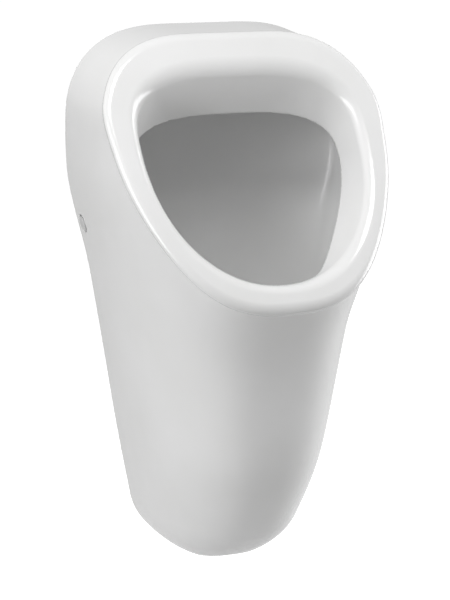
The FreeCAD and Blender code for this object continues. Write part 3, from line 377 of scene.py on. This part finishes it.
def side_place(x, d, h):
    """(depth under the side surface, distance from the axis) of the side fixing's holes."""
    lean = math.atan(FIXING_SLOPE)
    out_x, out_h = math.cos(lean), -math.sin(lean)
    dx, dh = np.abs(x) - FIXING_HALF_WIDTH, h - FIXING_HEIGHT
    outward = dx * out_x + dh * out_h
    across = np.hypot(-dx * out_h + dh * out_x, d - FIXING_DISTANCE)
    return -outward, across


def cut_holes(solid, x, d, h):
    """Takes the drain, the inlet and the side fixings' recesses and holes out."""
    drain = np.hypot(x, d - DRAIN_DISTANCE) - DRAIN_RADIUS
    drain = np.maximum(drain, h - BOWL_FLOOR - DRAIN_CUT)
    solid = round_max(solid, -drain, DRAIN_ROUNDING)
    inlet = np.hypot(x, h - INLET_HEIGHT) - INLET_RADIUS
    inlet = np.maximum(inlet, d - BOWL_BACK - INLET_CUT)
    solid = round_max(solid, -inlet, HOLE_ROUNDING)
    under, across = side_place(x, d, h)
    recess = np.maximum(across - CAP_RECESS_RADIUS, under - CAP_RECESS_DEPTH)
    screw = np.maximum(across - SCREW_HOLE_RADIUS, under - 2 * SHELL_WALL)
    return round_max(solid, -np.minimum(recess, screw), HOLE_ROUNDING)


def ceramic_distance(points):
    """About the distance of (x, d, h) points to the casting's surface, negative inside it."""
    x, d, h = points.T
    v, s = face_place(d, h)
    body = sides_distance(x, d, h, 0.0, 0.0)
    funnel = funnel_distance(x, v, s)
    outside = round_max(outside_distance(x, d, h, s, body), -funnel, CREASE_ROUNDING)
    solid = np.maximum(outside, walls_distance(x, d, h, v, s, body, funnel))
    return cut_holes(round_max(solid, -d, REAR_ROUNDING), x, d, h)


# ------------------------------------------------------------------ mesh from the distance

CELL = 2.5
HALF_SPAN = 170.0               # the grid reaches beyond the body on every side
DEPTH_SPAN = 330.0
GRID_MARGIN = 3                 # in cells
DEPTH_OFFSET = 0.37             # in cells, so that no grid plane lies on a flat face
HEIGHT_OFFSET = 0.41
SLOPE_REACH = 0.25
SETTLE_ROUNDS = 4
LONGEST_MOVE = 1.5
EVENING_SHARE = 0.5
LEAST_SLOPE_SQUARED = 0.05


def gradient(points):
    slopes = np.empty_like(points)
    for axis in range(3):
        step = np.zeros(3)
        step[axis] = SLOPE_REACH
        slopes[:, axis] = (ceramic_distance(points + step)
                           - ceramic_distance(points - step)) / (2 * SLOPE_REACH)
    return slopes


def sample_grid(cell):
    """The grid's lines along x, d and h, and the distance where they cross."""
    half = np.arange(cell / 2, HALF_SPAN, cell)
    xs = np.concatenate([-half[::-1], half])
    ds = np.arange((DEPTH_OFFSET - GRID_MARGIN) * cell, DEPTH_SPAN, cell)
    hs = np.arange((HEIGHT_OFFSET - GRID_MARGIN) * cell, TOP + (GRID_MARGIN + 1) * cell, cell)
    right = np.empty((len(half), len(ds), len(hs)))
    dd, hh = np.meshgrid(ds, hs, indexing="ij")
    for i, x in enumerate(half):
        points = np.stack([np.full(dd.size, x), dd.ravel(), hh.ravel()], axis=1)
        right[i] = ceramic_distance(points).reshape(dd.shape)
    return (xs, ds, hs), np.concatenate([right[::-1], right], axis=0)


def passed_cells(field):
    """The cells that the surface passes, and a grid with the number of each of them."""
    inside = field < 0
    size_x, size_d, size_h = (n - 1 for n in field.shape)
    corners = np.zeros((size_x, size_d, size_h), dtype=int)
    for i, j, k in itertools.product((0, 1), repeat=3):
        corners += inside[i:size_x + i, j:size_d + j, k:size_h + k]
    passed = (corners > 0) & (corners < 8)
    cells = np.argwhere(passed)
    index = np.full(passed.shape, -1)
    index[passed] = np.arange(len(cells))
    return cells, index


def net_vertices(field, axes, cells, cell):
    """In each of these cells, the mean of the places where the surface cuts its edges."""
    total = np.zeros((len(cells), 3))
    count = np.zeros(len(cells))
    for axis, p, q in itertools.product(range(3), (0, 1), (0, 1)):
        start = np.zeros(3, dtype=int)
        start[[a for a in range(3) if a != axis]] = p, q
        end = start.copy()
        end[axis] = 1
        near = field[tuple((cells + start).T)]
        far = field[tuple((cells + end).T)]
        crossed = (near < 0) != (far < 0)
        share = np.where(crossed, near / np.where(crossed, near - far, 1), 0)
        place = np.stack([axes[a][cells[:, a] + start[a]] for a in range(3)], axis=1)
        place[:, axis] += share * cell
        total += np.where(crossed[:, None], place, 0)
        count += crossed
    return total / count[:, None]


def net_quads(field, index):
    """A quad around each grid edge that the surface cuts, from the cells around it."""
    inside = field < 0
    quads = []
    for axis in range(3):
        b, c = (axis + 1) % 3, (axis + 2) % 3
        low = [slice(None)] * 3
        high = [slice(None)] * 3
        low[axis], high[axis] = slice(0, -1), slice(1, None)
        edges = np.argwhere(inside[tuple(low)] != inside[tuple(high)])
        for side in (b, c):
            edges = edges[(edges[:, side] > 0) & (edges[:, side] < field.shape[side] - 1)]
        ring = []
        for db, dc in ((-1, -1), (0, -1), (0, 0), (-1, 0)):
            around = edges.copy()
            around[:, b] += db
            around[:, c] += dc
            ring.append(index[tuple(around.T)])
        ring = np.stack(ring, axis=1)
        outward = inside[tuple(edges.T)]
        quads.append(np.where(outward[:, None], ring, ring[:, ::-1]))
    return np.concatenate(quads)


def settle(vertices, quads):
    """Draws the vertices onto the true surface and evens out their spacing."""
    pairs = np.concatenate([quads[:, [k, (k + 1) % 4]] for k in range(4)])
    count = np.bincount(pairs[:, 0], minlength=len(vertices))[:, None]
    for turn in range(SETTLE_ROUNDS):
        slopes = gradient(vertices)
        squared = (slopes ** 2).sum(axis=1, keepdims=True)
        squared = np.maximum(squared, LEAST_SLOPE_SQUARED)
        move = ceramic_distance(vertices)[:, None] * slopes / squared
        vertices = vertices - np.clip(move, -LONGEST_MOVE, LONGEST_MOVE)
        if turn == SETTLE_ROUNDS - 1:
            break
        middle = np.stack([np.bincount(pairs[:, 0], vertices[pairs[:, 1], a], len(vertices))
                           for a in range(3)], axis=1) / count
        normal = slopes / np.sqrt(squared)
        drift = middle - vertices
        drift -= (drift * normal).sum(axis=1, keepdims=True) * normal
        vertices = vertices + EVENING_SHARE * drift
    return vertices


def ceramic_piece():
    cell = CELL
    axes, field = sample_grid(cell)
    cells, index = passed_cells(field)
    quads = net_quads(field, index)
    vertices = settle(net_vertices(field, axes, cells, cell), quads)
    normals = gradient(vertices)
    places = np.stack([vertices[:, 0], -vertices[:, 1], vertices[:, 2] + BASE], axis=1) * MM
    normals = np.stack([normals[:, 0], -normals[:, 1], normals[:, 2]], axis=1)
    normals /= np.maximum(np.linalg.norm(normals, axis=1, keepdims=True), TINY)
    mesh = bpy.data.meshes.new("glazed_body")
    mesh.from_pydata(places.tolist(), [], quads[:, ::-1].tolist())
    mesh.validate()
    mesh.shade_smooth()
    mesh.normals_split_custom_set_from_vertices(normals.tolist())
    piece = bpy.data.objects.new("glazed_body", mesh)
    bpy.context.scene.collection.objects.link(piece)
    print("glazed_body", len(places), "vertices")
    return piece


# ------------------------------------------------------------------ materials

GLAZE_DARK = (0.80, 0.80, 0.795, 1)
GLAZE_LIGHT = (0.84, 0.84, 0.84, 1)
CLOUD_SCALE = 9.0
GRAIN_SCALE = 400.0
GRAIN_DARKEST = 0.9             # share of the colour in the dark grains
GRAIN_BUMP = 0.05
GRAIN_HEIGHT = 0.0005           # in metres


def principled(name):
    material = bpy.data.materials.new(name)
    material.use_nodes = True
    nodes, links = material.node_tree.nodes, material.node_tree.links
    return material, nodes, links, nodes["Principled BSDF"]


def noise_colour(nodes, links, scale, dark, light):
    """Noise fixed to the piece, and the colour ramp that it drives."""
    place = nodes.new("ShaderNodeTexCoord")
    noise = nodes.new("ShaderNodeTexNoise")
    noise.inputs["Scale"].default_value = scale
    links.new(place.outputs["Object"], noise.inputs["Vector"])
    ramp = nodes.new("ShaderNodeValToRGB")
    ramp.color_ramp.elements[0].color = dark
    ramp.color_ramp.elements[1].color = light
    links.new(noise.outputs["Fac"], ramp.inputs["Fac"])
    return noise, ramp


def glaze():
    material, nodes, links, shader = principled("white_glaze")
    cloud, tint = noise_colour(nodes, links, CLOUD_SCALE, GLAZE_DARK, GLAZE_LIGHT)
    cloud.inputs["Detail"].default_value = 3.0
    tint.color_ramp.elements[0].position = 0.3
    tint.color_ramp.elements[1].position = 0.7
    links.new(tint.outputs["Color"], shader.inputs["Base Color"])
    shader.inputs["Roughness"].default_value = 0.16
    shader.inputs["IOR"].default_value = 1.5
    shader.inputs["Coat Weight"].default_value = 0.15
    shader.inputs["Coat Roughness"].default_value = 0.08
    return material


def grained(name, colour, roughness, metallic=0.0):
    """Plastic, metal or rubber with a fine grain in its colour and its surface."""
    material, nodes, links, shader = principled(name)
    dark = tuple(GRAIN_DARKEST * c for c in colour) + (1,)
    noise, ramp = noise_colour(nodes, links, GRAIN_SCALE, dark, colour + (1,))
    links.new(ramp.outputs["Color"], shader.inputs["Base Color"])
    bump = nodes.new("ShaderNodeBump")
    bump.inputs["Strength"].default_value = GRAIN_BUMP
    bump.inputs["Distance"].default_value = GRAIN_HEIGHT
    links.new(noise.outputs["Fac"], bump.inputs["Height"])
    links.new(bump.outputs["Normal"], shader.inputs["Normal"])
    shader.inputs["Roughness"].default_value = roughness
    shader.inputs["Metallic"].default_value = metallic
    return material


# colour, roughness and, for metals, metallic
FINISHES = {
    "cap_plastic": ((0.62, 0.62, 0.62), 0.3),
    "white_plastic": ((0.74, 0.74, 0.73), 0.4),
    "plug_plastic": ((0.25, 0.26, 0.28), 0.5),
    "pipe_plastic": ((0.3, 0.31, 0.32), 0.45),
    "zinc_steel": ((0.7, 0.71, 0.73), 0.35, 1.0),
    "chrome": ((0.85, 0.86, 0.87), 0.08, 1.0),
    "steel_strainer": ((0.75, 0.75, 0.76), 0.28, 1.0),
    "brass": ((0.75, 0.55, 0.25), 0.3, 1.0),
    "black_rubber": ((0.03, 0.03, 0.03), 0.7),
}


def finish_fittings():
    """Gives each piece carried over from the frame its finish."""
    materials = {name: grained(name, *finish) for name, finish in FINISHES.items()}
    for row in frame["record"]["subparts"]:
        material = materials.get(row["material_slot"])
        if material:
            mesh = frame["nodes"][row["node"]].data
            mesh.materials.clear()
            mesh.materials.append(material)
            mesh.shade_smooth()


# ------------------------------------------------------------------ floor, light, camera

# from here on in metres and watts
FLOOR_DROP = 0.30               # the object hangs this high above the floor
FLOOR_SIZE = 60.0
FLOOR_COLOUR = (0.55, 0.55, 0.55, 1)
FLOOR_GLOW = 0.95
WHITE = (1, 1, 1, 1)
REFLECTED_BACKGROUND = 0.4
WORLD_LIGHT = 0.15

SIDE_AIM = (0, -0.12, -0.05)
TOP_AIM = (0, -0.15, 0.05)

# name, place, the point it faces, width, height, power
LAMPS = [
    ("left_softbox", (-1.8, -0.75, 0.45), SIDE_AIM, 0.9, 1.6, 23),
    ("right_softbox", (1.9, -0.45, 0.35), SIDE_AIM, 1.0, 1.8, 29),
    ("top_softbox", (-0.3, -0.8, 2.1), TOP_AIM, 1.0, 0.8, 30),
]

CAMERA_PLACE = (-0.6371, -1.6504, 0.3381)
CAMERA_TURN = math.radians(22)
CAMERA_DIP = math.radians(14)
FOCAL_PIXELS = 1600.0
PICTURE_HEIGHT_PIXELS = 600.0
SENSOR_WIDTH = 36.0             # in millimetres, as the lens


def background_seen(nodes, links):
    """How much of the white background a ray meets: all of it, or part of it off gloss."""
    path = nodes.new("ShaderNodeLightPath")
    reflected = nodes.new("ShaderNodeMath")
    reflected.operation = "MULTIPLY"
    reflected.inputs[1].default_value = REFLECTED_BACKGROUND
    links.new(path.outputs["Is Glossy Ray"], reflected.inputs[0])
    seen = path.outputs["Is Camera Ray"]
    for other in (reflected.outputs[0], path.outputs["Is Transmission Ray"]):
        either = nodes.new("ShaderNodeMath")
        either.operation = "MAXIMUM"
        links.new(seen, either.inputs[0])
        links.new(other, either.inputs[1])
        seen = either.outputs[0]
    return seen


def floor():
    place = (0, 0, BASE * MM - FLOOR_DROP)
    bpy.ops.mesh.primitive_plane_add(size=FLOOR_SIZE, location=place)
    plane = bpy.context.object
    plane.name = "floor"
    material = bpy.data.materials.new("pale_floor")
    material.use_nodes = True
    nodes, links = material.node_tree.nodes, material.node_tree.links
    nodes.clear()
    out = nodes.new("ShaderNodeOutputMaterial")
    matt = nodes.new("ShaderNodeBsdfDiffuse")
    matt.inputs["Color"].default_value = FLOOR_COLOUR
    glow = nodes.new("ShaderNodeEmission")
    glow.inputs["Color"].default_value = WHITE
    level = nodes.new("ShaderNodeMath")
    level.operation = "MULTIPLY"
    level.inputs[1].default_value = FLOOR_GLOW
    links.new(background_seen(nodes, links), level.inputs[0])
    links.new(level.outputs[0], glow.inputs["Strength"])
    both = nodes.new("ShaderNodeAddShader")
    links.new(matt.outputs[0], both.inputs[0])
    links.new(glow.outputs[0], both.inputs[1])
    links.new(both.outputs[0], out.inputs["Surface"])
    plane.data.materials.append(material)


def lamp(name, place, aim, width, height, power):
    data = bpy.data.lights.new(name, "AREA")
    data.shape = "RECTANGLE"
    data.size, data.size_y = width, height
    data.energy = power
    softbox = bpy.data.objects.new(name, data)
    bpy.context.scene.collection.objects.link(softbox)
    softbox.location = place
    toward = Vector(aim) - Vector(place)
    softbox.rotation_euler = toward.to_track_quat("-Z", "Y").to_euler()


def surroundings():
    world = bpy.data.worlds.new("studio")
    bpy.context.scene.world = world
    world.use_nodes = True
    nodes, links = world.node_tree.nodes, world.node_tree.links
    nodes.clear()
    out = nodes.new("ShaderNodeOutputWorld")
    sky = nodes.new("ShaderNodeBackground")
    sky.inputs["Color"].default_value = WHITE
    level = nodes.new("ShaderNodeMapRange")
    level.inputs["To Min"].default_value = WORLD_LIGHT
    level.inputs["To Max"].default_value = 1.0
    links.new(background_seen(nodes, links), level.inputs["Value"])
    links.new(level.outputs[0], sky.inputs["Strength"])
    links.new(sky.outputs[0], out.inputs["Surface"])


def camera():
    data = bpy.data.cameras.new("photo_camera")
    data.sensor_width = SENSOR_WIDTH
    data.lens = FOCAL_PIXELS * SENSOR_WIDTH / PICTURE_HEIGHT_PIXELS
    eye = bpy.data.objects.new("photo_camera", data)
    bpy.context.scene.collection.objects.link(eye)
    eye.location = CAMERA_PLACE
    look = Vector((math.sin(CAMERA_TURN) * math.cos(CAMERA_DIP),
                   math.cos(CAMERA_TURN) * math.cos(CAMERA_DIP), -math.sin(CAMERA_DIP)))
    eye.rotation_euler = look.to_track_quat("-Z", "Y").to_euler()
    bpy.context.scene.camera = eye


# ------------------------------------------------------------------ the whole scene

finish_fittings()

body = ceramic_piece()
body.data.materials.append(glaze())
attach(body, "fixed")
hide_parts("ceramic_body")

floor()
for row in LAMPS:
    lamp(*row)
surroundings()
camera()
bpy.context.scene.view_settings.view_transform = "Standard"
